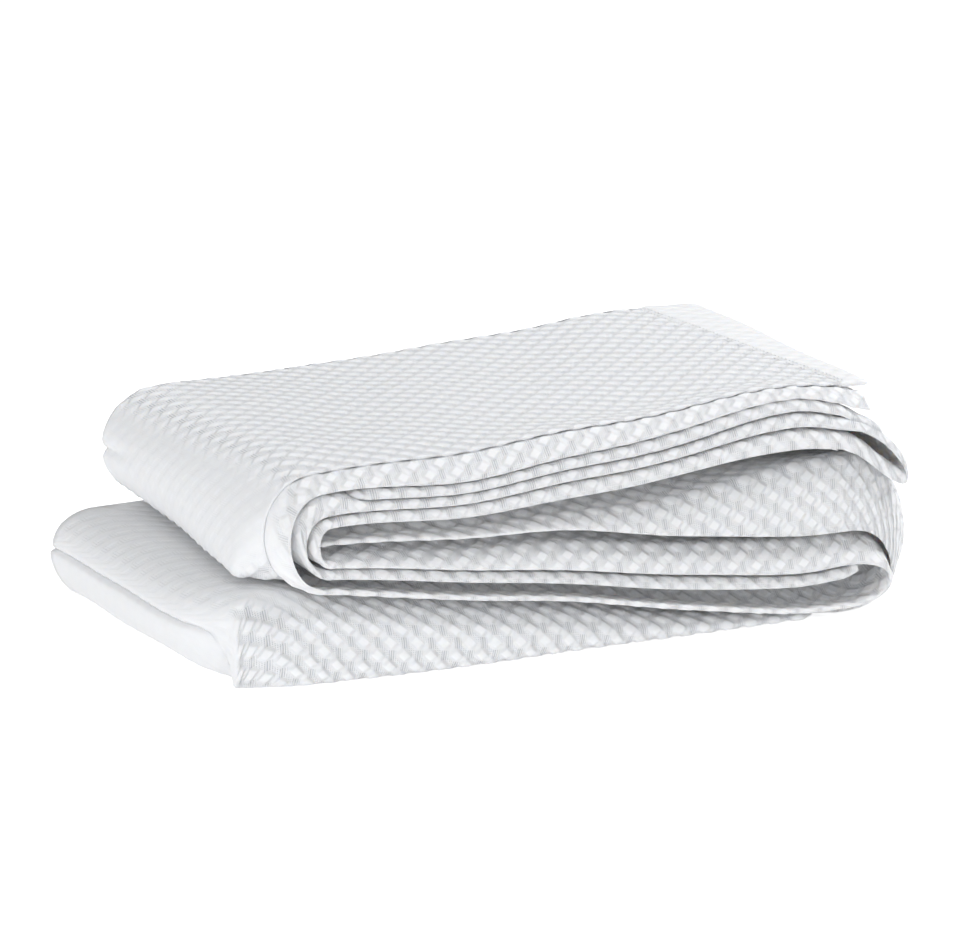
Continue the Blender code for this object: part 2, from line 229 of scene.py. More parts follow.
HALF = 1.35                     # half the thickness of the cloth
RIM_SHARE = 0.35                # how thin it is at its edges
RIM_DEPTH = 2.6                 # how far in its edges are rounded
SELVEDGE_HALF = 1.9             # half its thickness at the woven edges at the front
SELVEDGE_DEPTH = 16.0           # how far in it is thicker
PUFF = (18.5, 8.0)              # how far apart the puffs are along a row, and the rows
PUFF_HEIGHT = 1.2               # how far the puffs stand up
PUFF_RISE = (1.5, 1.3)          # how soon a puff is at its full height, across its slanting row and along it
ROW_NOTCH = 0.7                 # how deep the notches are between the puffs of one slanting row
FLAT_RELIEF = 0.15              # how much of the puffs is left where the cloth is drawn tight, at the left
TIGHT_WIDTH = 30.0              # over this length it gets tight
TIGHT_FACE = (0.45, 0.4)        # it is tight where it faces left: from this slope on, and how soon wholly
TIGHT_TOP = (0.5, 0.3, 0.85)    # the same where it faces up on the lower tier, and how tight it is there
LOWER_TOP = 66.0                # the lower tier is below this height
RIM_PUFFS = 0.3                 # how much of them is left at an edge
RIM_FADE = 5.0                  # and how far in they are whole
SETTLE = 0.9                    # how far the whole stack swells and dips
STACK_TOP = 140.0               # the swells of its layers grow up to this height
BULGE_START = 30.0              # and the bulges of its left face from the front to here
SWELLS = ((37.0, 61.0), (95.0, 43.0), (19.0, 29.0))     # their lengths over X and Y
SWELL_SHIFTS = (0.7, 2.0)       # where the second and third of them start
SMALL_SWELL = 0.5               # how high the third is
BULGES = ((33.0, 21.0), (17.0, 31.0))                   # the bulges' lengths over Y and Z
BULGE_SHIFT = 1.3               # where the second of them starts
SMALL_BULGE = 0.6               # how high it is
STUB_WIDTH = 26.0               # over this length the ply under the lone one reaches past it
TUCKED_EDGE = 14.0              # how far back the lone ply's edge is where it starts, at the left
TUCKED_WIDTH = 30.0             # over this length it comes out to its line

# The crease at the back of the upper left face: height, depth, width, where it starts, and its slope.
CREASE = (101.0, 5.0, 3.0, 190.0, 0.1)

HEM_LINE = (438.0, 429.0)       # where the hem is sewn across the top ply, at the front and at the back
HEM_STEP = 3.0                  # how wide the step up to the hem is
HEM_RISE = 1.8                  # how much thicker the hem is
HEM_PUFFS = 0.45                # how much of the puffs' height is left on it
SEAM_PUFFS = 0.7                # how much of it the stitches pull down
STITCH_ROWS = (-1.5, 1.5)       # the two lines of stitches, beside the hem's line


def mix(a, b, share):
    return a + (b - a) * share


def clamp(value):
    return np.clip(value, 0.0, 1.0)


def ease(value):
    value = clamp(value)
    return value * value * (3.0 - 2.0 * value)


def curve(places, values, x):
    """A smooth curve through the values at these places, read at x."""
    x = np.clip(x, places[0], places[-1])
    places, values = np.asarray(places), np.asarray(values)
    count = len(places)
    i = np.clip(np.searchsorted(places, x, side="right") - 1, 0, count - 2)

    def slope(k):
        low, high = np.maximum(k - 1, 0), np.minimum(k + 1, count - 1)
        return (values[high] - values[low]) / (places[high] - places[low])

    width = places[i + 1] - places[i]
    t = (x - places[i]) / width
    bend = t * (1 - t) * width
    return mix(values[i], values[i + 1], ease(t)) + bend * ((1 - t) * slope(i) - t * slope(i + 1))


def along(heights, x):
    return curve(ALONG, heights, x)


def front_line(x):
    return along(PROFILES["front line"], x)


def right_share(x):
    return clamp((x - LEFT_END) / (RIGHT_END - LEFT_END))


def closed_share(name, x):
    """How far a ply's front rows form the closed front: 1 wholly, 0 not at all."""
    start, end = FRONT_ENDS
    return 1.0 - ease((x - start) / (end - start)) if name == "P1" else 0.0


def ply_heights(name, x):
    """A ply's height at its front edge, at its front line and inside the stack."""
    own = PLIES[name]
    share = mix(own["left"], own["right"], right_share(x))
    tier = along(PROFILES["tier top"], x)
    if own["tier"] == "lower":
        line = mix(FLOOR, along(EDGES["P1"], x), share)
        return line, line, mix(FLOOR, tier, share)
    edge = along(EDGES[name], x)
    line = edge
    if name in ABOVE:
        above = along(EDGES[ABOVE[name]], x)
        if name == "T3":
            above = mix(along(EDGES["T1"], x), above, ease((x - LEFT_END) / STUB_WIDTH))
        line = edge + mix(*own["apron"], right_share(x)) * (above - APRON_REST - edge)
    return edge, line, mix(tier, along(PROFILES["stack top"], x), share)


def ply_front(name, x):
    """Y of a ply's front edge."""
    setback = PLIES[name]["setback"]
    if name == "P8":
        start, end = FLOOR_ENDS
        gap = mix(*FRONT_GAP, right_share(x)) * (1.0 - ease((x - start) / (end - start)))
        return along(PROFILES["closed front"], x) + gap
    if name == "T2":
        return front_line(x) + setback[0] + TUCKED_EDGE * (1.0 - ease((x - LEFT_END) / TUCKED_WIDTH))
    return front_line(x) + mix(*setback, right_share(x)) * (1.0 - closed_share(name, x))


def stand(x, edge, heights, closed, name, curl=0.0):
    """The points of one column, front to back, at the places of a set of rows. x is its place along the
    stack at the front, inside and at the back."""
    front_x, inner_x, back_x = x
    own = PLIES[name]

    def points(rows):
        rows = np.asarray(rows)
        y = mix(edge, BACK, rows / DEPTH)
        apron = clamp(1.0 - (y - edge) / own["bend"]) ** APRON_POWER
        up, inset, height = (np.array(column) for column in zip(*FRONT_FORM))
        inset = inset * mix(LEFT_INSET, 1.0, ease((front_x - ALONG[0]) / LEFT_TUCK))
        line = along(PROFILES["closed front"], front_x)
        climb = rows / FRONT_ZONE
        behind = mix(line + inset[-1], BACK, (rows - FRONT_ZONE) / (DEPTH - FRONT_ZONE))
        y = mix(y, np.where(climb <= 1.0, line + curve(up, inset, climb), behind), closed)
        sag = clamp(1.0 - (y - front_line(front_x)) / MARGIN) ** SAG_POWER
        pull = clamp(1.0 - (y - edge) / curl) ** CURL_POWER if curl else sag
        at = mix(mix(inner_x, front_x, pull), back_x, clamp(y / BACK))
        z = mix(heights[2], heights[1], sag) - (heights[1] - heights[0]) * apron
        face = mix(FLOOR, heights[1], curve(up, height, climb))
        z = np.where(climb <= 1.0, mix(z, face, closed), z)
        if own["tier"] == "upper":
            at = at + LEAN_BACK * ease(y / BACK) * ease(1.0 - (at - LEFT_END) / LEAN_WIDTH)
        return settled(np.stack((at, y, z), axis=1), name)
    return points


def settled(points, name):
    """The same points, with the soft swells of the whole stack and the crease in the upper left face."""
    x, y, z = points.T
    (long_x, long_y), (slow_x, slow_y), (small_x, small_y) = SWELLS
    swell = np.sin(x / long_x + y / long_y) * np.sin(y / slow_y - x / slow_x + SWELL_SHIFTS[0])
    swell = swell + SMALL_SWELL * np.sin(x / small_x - y / small_y + SWELL_SHIFTS[1])
    (long_y, long_z), (small_y, small_z) = BULGES
    bulge = np.sin(y / long_y + z / long_z) + SMALL_BULGE * np.sin(y / small_y - z / small_z + BULGE_SHIFT)
    left = ease((LEFT_END - x) / LEFT_END)
    z = z + SETTLE * swell * clamp(z / STACK_TOP) * (1.0 - left)
    x = x + SETTLE * bulge * left * clamp(y / BULGE_START)
    if name in ("T0", "D0"):
        line, depth, width, start, slope = CREASE
        fold = np.exp(-((z - line - slope * (BACK - y)) / width) ** 2)
        fold = fold * ease((y - start) / (BACK - start))
        x = x + depth * fold * left
    return np.stack((x, y, z), axis=1)


def spaced(start, end, step):
    """Places from start to end, both kept, about step apart."""
    return np.linspace(start, end, max(2, round(abs(end - start) / step) + 1))


def ply_columns(name):
    own = PLIES[name]
    columns = []
    for x in spaced(own["start"], own["end"], own["step"]):
        column = stand((x, x, x), ply_front(name, x), ply_heights(name, x), closed_share(name, x), name)
        columns.append(dict(points=column, weave=own["weave"], ply=name, cloth=name, x=x))
    return columns


def end_columns(name, side):
    """The columns from the last one of a ply to its free end, closer and closer, from the ply outwards."""
    place = name + " " + side
    if place not in FREE_ENDS:
        return []
    own, end = PLIES[name], FREE_ENDS[place]
    start = own["end"] if side == "right" else own["start"]
    reach = end["front"] - start
    length = abs(reach)
    steps = list(spaced(0.0, length - RIM_ROWS[-1], own["step"])[1:])
    steps += [length - inset for inset in RIM_ROWS[1::-1]] + [length]
    columns = []
    for step in steps:
        share = step / length
        x = start + math.copysign(step, reach)
        heights = [height - end["drop"] * share ** END_POWER for height in ply_heights(name, x)]
        base = stand((x, x, x), ply_front(name, x), heights, 0.0, name)
        slide = (end["back"] - end["front"]) * share

        def points(rows, base=base, slide=slide):
            found = base(rows)
            found[:, 0] += slide * clamp(found[:, 1] / BACK)
            return found

        columns.append(dict(points=points, weave=own["weave"], ply=None, cloth=name, x=x, rim=length - step))
    return columns


def reach_share(t, peak):
    """How far out a turn is, from 0 to 1, at a share t of the way round it."""
    return math.sin(math.pi * (0.5 * t / peak if t < peak else 0.5 + 0.5 * (t - peak) / (1.0 - peak)))


def turn_columns(first, second, side):
    """The columns round the end fold from one ply to the next."""
    flipped = first + " " + second not in TURNS
    shape = TURNS[second + " " + first if flipped else first + " " + second]
    pick = "start" if side == "left" else "end"
    start, end = (PLIES[name][pick] for name in (first, second))
    ends = list(zip(ply_heights(first, start), ply_heights(second, end)))
    peaks = [1.0 - shape[peak] if flipped else shape[peak] for peak in ("peak", "edge_peak")]
    closed = (closed_share(first, start), closed_share(second, end))
    edges = (ply_front(first, start), ply_front(second, end))
    columns = []
    for k in range(1, shape["points"] + 1):
        t = k / (shape["points"] + 1)
        out, edge_out = (reach_share(t, peak) ** shape["square"] for peak in peaks)
        down = (1.0 - math.cos(math.pi * t)) / 2.0
        tilt = math.radians(shape["lean"]) * out
        drop = shape["sag"] * out ** DROOP_POWER
        base = mix(start, end, down)
        across = [(low - high) * (down - 0.5) * (1.0 + shape["fat"] * out) for high, low in ends]
        reach = ((shape["front"], edge_out), (shape["inside"], out), (shape["back"], edge_out))
        gaps = (across[0], across[2], across[2])
        x = [mix(base, to, part) + gap * math.sin(tilt) for (to, part), gap in zip(reach, gaps)]
        heights = [(high + low) / 2.0 + gap * math.cos(tilt) - drop for (high, low), gap in zip(ends, across)]
        shut = mix(*closed, clamp((t - SHUT_TURN[0]) / (SHUT_TURN[1] - SHUT_TURN[0])))
        edge = mix(edges[0], edges[1], ease(t ** shape["late"]))
        column = stand(x, edge, heights, shut, first if down < 0.5 else second, shape["curl"])
        columns.append(dict(points=column, weave=shape["weave"], ply=None, cloth=None, x=None))
    return columns


def run_columns(names):
    """All the columns of one length of cloth, in order along it."""
    columns = []
    for k, name in enumerate(names):
        leftwards = k % 2 == 0
        sides = ("right", "left") if leftwards else ("left", "right")
        if k == 0:
            columns += end_columns(name, sides[0])[::-1]
        own = ply_columns(name)
        columns += own[::-1] if leftwards else own
        if k + 1 < len(names):
            columns += turn_columns(name, names[k + 1], sides[1])
        else:
            columns += end_columns(name, sides[1])
    return columns


def zip_up(faces, one, two):
    """Faces between two lines of points. A line is a list of (place along it, point)."""
    i = j = 0
    while i + 1 < len(one) or j + 1 < len(two):
        next_one = one[i + 1][0] if i + 1 < len(one) else math.inf
        next_two = two[j + 1][0] if j + 1 < len(two) else math.inf
        if abs(next_one - next_two) < 0.01:
            faces.append((one[i][1], one[i + 1][1], two[j + 1][1], two[j][1]))
            i, j = i + 1, j + 1
        elif next_one < next_two:
            faces.append((one[i][1], one[i + 1][1], two[j][1]))
            i += 1
        else:
            faces.append((one[i][1], two[j + 1][1], two[j][1]))
            j += 1


class Cloth:
    """Points, faces and the values at the points, while the sheet is put together."""

    def __init__(self):
        self.points, self.faces, self.weave, self.raised, self.thin = [], [], [], [], []
        self.hem, self.seam = [], []

    def add(self, points, weave, raised, thin, hem=None, seam=None):
        first = len(self.points)
        self.points += list(points)
        self.weave += list(weave)
        self.raised += list(raised)
        self.thin += list(thin)
        self.hem += [0.0] * len(points) if hem is None else list(hem)
        self.seam += [0.0] * len(points) if seam is None else list(seam)
        return list(range(first, len(self.points)))


def rim_share(distance):
    """How thick the cloth is, as a share, this far in from an edge."""
    t = 1.0 - clamp(np.asarray(distance) / RIM_DEPTH)
    return mix(RIM_SHARE, 1.0, np.sqrt(1.0 - t * t))


def hem_distance(points):
    """How far points of the top ply are from the hem's line, along X and towards its end."""
    return points[:, 0] - mix(*HEM_LINE, clamp(points[:, 1] / BACK))


def add_run(cloth, names):
    """One length of cloth. Returns the back point of each ply's columns, by ply."""
    backs = {}
    before = None
    u = 0.0
    for column in run_columns(names):
        rows = ROWS[column["weave"]]
        points = column["points"](rows)
        zone = rows.index(FRONT_ZONE)
        steps = np.linalg.norm(np.diff(points, axis=0), axis=1)
        v = np.concatenate(((0.0,), np.cumsum(steps)))
        v -= v[zone]
        middle = points[zone]
        if before is not None:
            u += float(np.linalg.norm(middle - before[0]))
        raised = np.where(np.asarray(rows) <= RAISED[column["weave"]], 1.0, 0.0)
        raised = raised * mix(RIM_PUFFS, 1.0, ease(np.asarray(rows) / RIM_FADE))
        thin = rim_share(rows) * rim_share(column.get("rim", RIM_DEPTH))
        if column["weave"] in ("band", "rim"):
            thin = thin * mix(SELVEDGE_HALF / HALF, 1.0, ease(np.asarray(rows) / SELVEDGE_DEPTH))
        hem = seam = None
        if column["cloth"] == "T0":
            away = hem_distance(points)
            hem = ease(0.5 + away / HEM_STEP)
            seam = np.exp(-(away / HEM_STEP) ** 2)
        indices = cloth.add(points, [(u, place) for place in v], raised, thin, hem, seam)
        line = list(zip(rows, indices))
        if before is not None:
            zip_up(cloth.faces, before[1], line)
        before = (middle, line)
        if column["ply"]:
            backs.setdefault(column["ply"], []).append((column["x"], indices[-1]))
    return backs


def add_back_fold(cloth, upper, lower):
    """A fold at the back, from one ply's back edge round to the next one's."""
    upper, lower = sorted(upper), sorted(lower)
    low = max(upper[0][0], lower[0][0])
    high = min(upper[-1][0], lower[-1][0])
    upper = [place for place in upper if low - 0.01 <= place[0] <= high + 0.01]
    lower = [place for place in lower if low - 0.01 <= place[0] <= high + 0.01]

    def at(line, x):
        places = [place for place, _ in line]
        return np.array([np.interp(x, places, [cloth.points[k][axis] for _, k in line]) for axis in range(3)])

    xs = list(spaced(low, high, FOLD_STEP))
    lines = [upper]
    for row in range(1, FOLD_ROWS + 1):
        angle = math.pi * row / (FOLD_ROWS + 1)
        points, weave = [], []
        for x in xs:
            top, bottom = at(upper, x), at(lower, x)
            arm = (top - bottom) / 2
            out = np.array((0.0, np.linalg.norm(arm) * math.sin(angle), 0.0))
            points.append((top + bottom) / 2 + arm * math.cos(angle) + out)
            weave.append((x, BACK + row * FOLD_WEAVE))
        indices = cloth.add(points, weave, [0.0] * len(xs), [1.0] * len(xs))
        lines.append(list(zip(xs, indices)))
    lines.append(lower)
    for one, two in zip(lines, lines[1:]):
        zip_up(cloth.faces, one, two)


def puff_height(u, v):
    """The height of the weave's puffs, from 0 to 1, at a place on the cloth."""
    u, v = u / PUFF[0], v / (2 * PUFF[1])
    rising, falling = np.cos(2 * math.pi * (u + v)), np.cos(2 * math.pi * (u - v))
    slant, notch = (ease((wave + 1.0) / rise) for wave, rise in zip((falling, rising), PUFF_RISE))
    return slant * mix(1.0 - ROW_NOTCH, 1.0, notch)


def vertex_normals(points, faces):
    mesh = bpy.data.meshes.new("draft")
    mesh.from_pydata(points.tolist(), [], faces)
    found = np.zeros(len(points) * 3, np.float32)
    mesh.vertex_normals.foreach_get("vector", found)
    bpy.data.meshes.remove(mesh)
    return found.reshape(-1, 3)


def level_faces(points, faces):
    """The same faces, turned so that neighbours face the same way."""
    bm = bmesh.new()
    made = [bm.verts.new(point) for point in points]
    for face in faces:
        bm.faces.new([made[k] for k in face])
    bmesh.ops.recalc_face_normals(bm, faces=bm.faces)
    bm.verts.index_update()
    turned = [[vert.index for vert in face.verts] for face in bm.faces]
    bm.free()
    return turned


def left_share(points):
    """1 at the left ends of the folds, where the cloth is drawn tight, and 0 elsewhere."""
    return ease((LEFT_END - points[:, 0]) / TIGHT_WIDTH)


def boundary(faces):
    """The edges that only one face uses, each as that face runs along it."""
    seen = {}
    for face in faces:
        for a, b in zip(face, face[1:] + face[:1]):
            key = (min(a, b), max(a, b))
            seen[key] = None if key in seen else (a, b)
    return [edge for edge in seen.values() if edge]


def relief_share(points, normals):
    """How much of the puffs stands up: less where the cloth is drawn tight over the left ends."""
    across, up = np.abs(normals[:, 0]), np.abs(normals[:, 2])
    start, width = TIGHT_FACE
    face = ease((across - start) / width)
    start, width, most = TIGHT_TOP
    top = most * ease((up - start) / width) * (points[:, 2] < LOWER_TOP)
    return mix(1.0, FLAT_RELIEF, np.maximum(face, top) * left_share(points))


def sheet_mesh(sides, faces, weave, relief, seam):
    """A mesh of both sides of the cloth and its rims, with the values that its finish reads."""
    count = len(sides) // 2
    all_faces = list(faces) + [[k + count for k in reversed(face)] for face in faces]
    for a, b in boundary(faces):
        all_faces.append([b, a, a + count, b + count])
    mesh = bpy.data.meshes.new("coverlet_cloth")
    mesh.from_pydata(((sides - HOME) * MM).tolist(), [], all_faces)
    layer = mesh.uv_layers.new(name="weave")
    corner = np.zeros(len(mesh.loops), np.int32)
    mesh.loops.foreach_get("vertex_index", corner)
    layer.data.foreach_set("uv", (np.concatenate((weave, weave))[corner] * MM).ravel())
    for label, values in (("relief", relief), ("seam", seam)):
        attribute = mesh.attributes.new(label, "FLOAT", "POINT")
        attribute.data.foreach_set("value", np.concatenate((values, values)).astype(np.float32))
    mesh.validate()
    mesh.shade_smooth()
    return mesh


def build_sheet():
    """The folded cloth, with both its sides and its rims."""
    cloth = Cloth()
    backs = {}
    for names in RUNS:
        backs.update(add_run(cloth, names))
    for upper, lower in BACK_FOLDS:
        add_back_fold(cloth, backs[upper], backs[lower])
    points = np.array(cloth.points)
    faces = level_faces(points, cloth.faces)
    normals = vertex_normals(points, faces)
    weave = np.array(cloth.weave)
    raised, thin = np.array(cloth.raised), np.array(cloth.thin)
    hem, seam = np.array(cloth.hem), np.array(cloth.seam)
    hem_puffs = mix(1.0, HEM_PUFFS, hem)
    raised = raised * hem_puffs * (1.0 - SEAM_PUFFS * seam)
    relief = relief_share(points, normals)
    puffs = PUFF_HEIGHT * (puff_height(weave[:, 0], weave[:, 1]) - 0.5) * raised * relief
    arm = ((HALF + HEM_RISE / 2 * hem) * thin + puffs)[:, None] * normals
    sides = np.concatenate((points + arm, points - arm))
    sides[:, 2] = np.maximum(sides[:, 2], 0.0)
    mesh = sheet_mesh(sides, faces, weave, relief * hem_puffs, seam)
    obj = bpy.data.objects.new("coverlet_cloth", mesh)
    bpy.context.scene.collection.objects.link(obj)
    return obj


# ---------------------------------------------------------------- the hem's stitches

STITCH = (3.2, 0.65, 4.6)       # length and thickness of a stitch, and how far apart they are
HEM_PATH = (4.0, 3.0, 3.0)      # where their lines start and end, in from the edges, and their points' step


def hem_paths():
    """A mesh of two lines of points on the top ply, where the hem is sewn."""
    start, end, step = HEM_PATH
    points, edges = [], []
    for offset in STITCH_ROWS:
        first = len(points)
        for place in np.arange(start, DEPTH - end, step):
            x = mix(*HEM_LINE, place / DEPTH) + offset
            found = stand((x, x, x), ply_front("T0", x), ply_heights("T0", x), 0.0, "T0")([place])[0]
            lift = HALF + HEM_RISE / 2 * float(ease(0.5 + offset / HEM_STEP))
            points.append((found + np.array((0.0, 0.0, lift)) - HOME) * MM)
        edges += [(k, k + 1) for k in range(first, len(points) - 1)]
    mesh = bpy.data.meshes.new("hem_line")
    mesh.from_pydata([list(point) for point in points], edges, [])
    return mesh


def stitch_tree():
    """Stitches laid along the edges of a mesh."""
    tree = bpy.data.node_groups.new("hem stitches", "GeometryNodeTree")
    for label, kind in (("Geometry", "NodeSocketGeometry"), ("Length", "NodeSocketFloat"),
                        ("Thickness", "NodeSocketFloat"), ("Spacing", "NodeSocketFloat"),
                        ("Thread", "NodeSocketMaterial")):
        tree.interface.new_socket(label, in_out="INPUT", socket_type=kind)
    tree.interface.new_socket("Geometry", in_out="OUTPUT", socket_type="NodeSocketGeometry")
    start, end = tree.nodes.new("NodeGroupInput"), tree.nodes.new("NodeGroupOutput")
    line = tree.nodes.new("GeometryNodeMeshToCurve")
    tree.links.new(start.outputs["Geometry"], line.inputs["Mesh"])
    spread = tree.nodes.new("GeometryNodeResampleCurve")
    spread.mode = "LENGTH"
    tree.links.new(line.outputs["Curve"], spread.inputs["Curve"])
    tree.links.new(start.outputs["Spacing"], spread.inputs["Length"])
    ball = tree.nodes.new("GeometryNodeMeshUVSphere")
    ball.inputs["Segments"].default_value = 8
    ball.inputs["Rings"].default_value = 6
    ball.inputs["Radius"].default_value = 0.5
    size = tree.nodes.new("ShaderNodeCombineXYZ")
    for axis, label in (("X", "Thickness"), ("Y", "Thickness"), ("Z", "Length")):
        tree.links.new(start.outputs[label], size.inputs[axis])
    place = tree.nodes.new("GeometryNodeInstanceOnPoints")
    turned = tree.nodes.new("FunctionNodeAlignRotationToVector")
    turned.axis = "Z"
    tangent = tree.nodes.new("GeometryNodeInputTangent")
    tree.links.new(tangent.outputs["Tangent"], turned.inputs["Vector"])
    tree.links.new(spread.outputs["Curve"], place.inputs["Points"])
    tree.links.new(ball.outputs["Mesh"], place.inputs["Instance"])
    tree.links.new(turned.outputs["Rotation"], place.inputs["Rotation"])
    tree.links.new(size.outputs["Vector"], place.inputs["Scale"])
    real = tree.nodes.new("GeometryNodeRealizeInstances")
    tree.links.new(place.outputs["Instances"], real.inputs["Geometry"])
    finish = tree.nodes.new("GeometryNodeSetMaterial")
    tree.links.new(real.outputs["Geometry"], finish.inputs["Geometry"])
    tree.links.new(start.outputs["Thread"], finish.inputs["Material"])
    tree.links.new(finish.outputs["Geometry"], end.inputs["Geometry"])
    return tree


def build_stitches(thread):
    path = bpy.data.objects.new("hem_line", hem_paths())
    bpy.context.scene.collection.objects.link(path)
    modifier = path.modifiers.new("stitches", "NODES")
    modifier.node_group = stitch_tree()
    values = dict(zip(("Length", "Thickness", "Spacing"), (size * MM for size in STITCH)))
    values["Thread"] = thread
    for item in modifier.node_group.interface.items_tree:
        if item.in_out == "INPUT" and item.name in values:
            modifier[item.identifier] = values[item.name]
    evaluated = path.evaluated_get(bpy.context.evaluated_depsgraph_get())
    mesh = bpy.data.meshes.new_from_object(evaluated)
    bpy.data.objects.remove(path)
    mesh.name = "hem_stitches"
    mesh.shade_smooth()
    stitches = bpy.data.objects.new("hem_stitches", mesh)
    bpy.context.scene.collection.objects.link(stitches)
    return stitches


# ---------------------------------------------------------------- finishes

WHITE = (0.890, 0.893, 0.900, 1.0)
PAINTED_SHADE = (0.56, 0.57, 0.59, 1.0)        # painted shade, deep between the threads
THREADS = 12                    # warp threads to a puff's repeat
PICKS = 6                       # weft threads to a row
GAP_PLACE = -0.05               # where the bare threads are between two puffs, from the middle

# Where the waves of the weave step up: from the first value, wholly at the second.
SOFT_SLANT, SOFT_NOTCH = (-1.0, 0.5), (-1.0, 0.3)           # the soft puffs
STEP_SLANT, STEP_NOTCH = (-0.9, -0.5), (-0.95, -0.6)        # their edges, in steps of a thread
STEP_EDGE = (-0.5, -0.8)                                    # the line of those steps
BARE_SIDE, BARE_WIDTH, BARE_HEIGHT = (0.0, -0.1), (0.65, 0.85), (0.15, 0.45)
THREAD_GAP = (0.1, -0.7)
PINHOLE = (0.0, -0.6)

HOLE_DEPTH = 0.8                # how deep a pinhole is beside a gap
STEP_RISE = 0.6                 # how high the stepped edges are
SINK = 0.8                      # how deep the gaps and pinholes go
SUNK_PAINTED_SHADE = 0.85               # how dark the painted shade in them is
BARE_PAINTED_SHADE = 0.06               # and the painted shade on the bare threads between them
SEAM_PAINTED_SHADE = 0.12               # and the painted shade on the cloth along the stitches
PAINTED_SHADE_POWER = 1.5               # how soon the painted shade goes where the cloth is drawn tight

PUFF_BUMP = 1.6                 # how high the finish makes the puffs stand, in millimetres
THREAD_BUMP = 0.7               # and the threads
FUZZ_BUMP = 0.12                # and the cotton's fuzz
FUZZ_SCALE = 900.0
FUZZ_STRENGTH = 0.5
TWIST_BUMP = 0.1                # and the twist of the sewing thread
TWIST_SCALE = 2500.0
TWIST_STRENGTH = 0.6


def new_group(name, inputs, outputs):
    group = bpy.data.node_groups.new(name, "ShaderNodeTree")
    for label, value in inputs:
        socket = group.interface.new_socket(label, in_out="INPUT", socket_type="NodeSocketFloat")
        socket.default_value = value
    for label in outputs:
        group.interface.new_socket(label, in_out="OUTPUT", socket_type="NodeSocketFloat")
    return group, group.nodes.new("NodeGroupInput"), group.nodes.new("NodeGroupOutput")


def plug(tree, value, socket):
    """Give a socket its value: another socket, or a number."""
    if isinstance(value, bpy.types.NodeSocket):
        tree.links.new(value, socket)
    else:
        socket.default_value = value


def math_node(tree, operation, *inputs):
    """A Math node whose inputs are sockets or numbers. Returns its output."""
    node = tree.nodes.new("ShaderNodeMath")
    node.operation = operation
    for socket, value in zip(node.inputs, inputs):
        plug(tree, value, socket)
    return node.outputs[0]


def product(tree, *values):
    found = values[0]
    for value in values[1:]:
        found = math_node(tree, "MULTIPLY", found, value)
    return found


def cosine(tree, cycles, count=1.0):
    return math_node(tree, "COSINE", product(tree, cycles, 2 * math.pi * count))


def stepped(tree, cycles, count):
    """The same place, moved to the nearest of this many threads in a cycle."""
    return math_node(tree, "DIVIDE", math_node(tree, "ROUND", product(tree, cycles, count)), count)


def slants(tree, across, up):
    """Waves along the two slanting directions of the puffs."""
    rising, falling = (math_node(tree, operation, across, up) for operation in ("ADD", "SUBTRACT"))
    return cosine(tree, rising), cosine(tree, falling)


def smooth_step(tree, value, low, high):
    """0 below low, 1 above high, and smooth between. Where low is above high, it falls."""
    node = tree.nodes.new("ShaderNodeMapRange")
    node.interpolation_type = "SMOOTHSTEP"
    tree.links.new(value, node.inputs["Value"])
    if low > high:
        low, high = high, low
        node.inputs["To Min"].default_value = 1.0
        node.inputs["To Max"].default_value = 0.0
    node.inputs["From Min"].default_value = low
    node.inputs["From Max"].default_value = high
    return node.outputs["Result"]


def notched(tree, value, limits):
    """A step that only goes part of the way down."""
    notch = product(tree, smooth_step(tree, value, *limits), ROW_NOTCH)
    return math_node(tree, "ADD", notch, 1.0 - ROW_NOTCH)


def bare_threads(tree, step_u, step_v, gap_place):
    """Where the threads stand apart beside a puff: narrow along the row and tall across it."""
    beside = cosine(tree, math_node(tree, "SUBTRACT", step_u, gap_place))
    above = cosine(tree, step_v)
    opposite = smooth_step(tree, product(tree, beside, above), *BARE_SIDE)
    narrow = smooth_step(tree, math_node(tree, "ABSOLUTE", beside), *BARE_WIDTH)
    tall = smooth_step(tree, math_node(tree, "ABSOLUTE", above), *BARE_HEIGHT)
    return product(tree, opposite, narrow, tall)


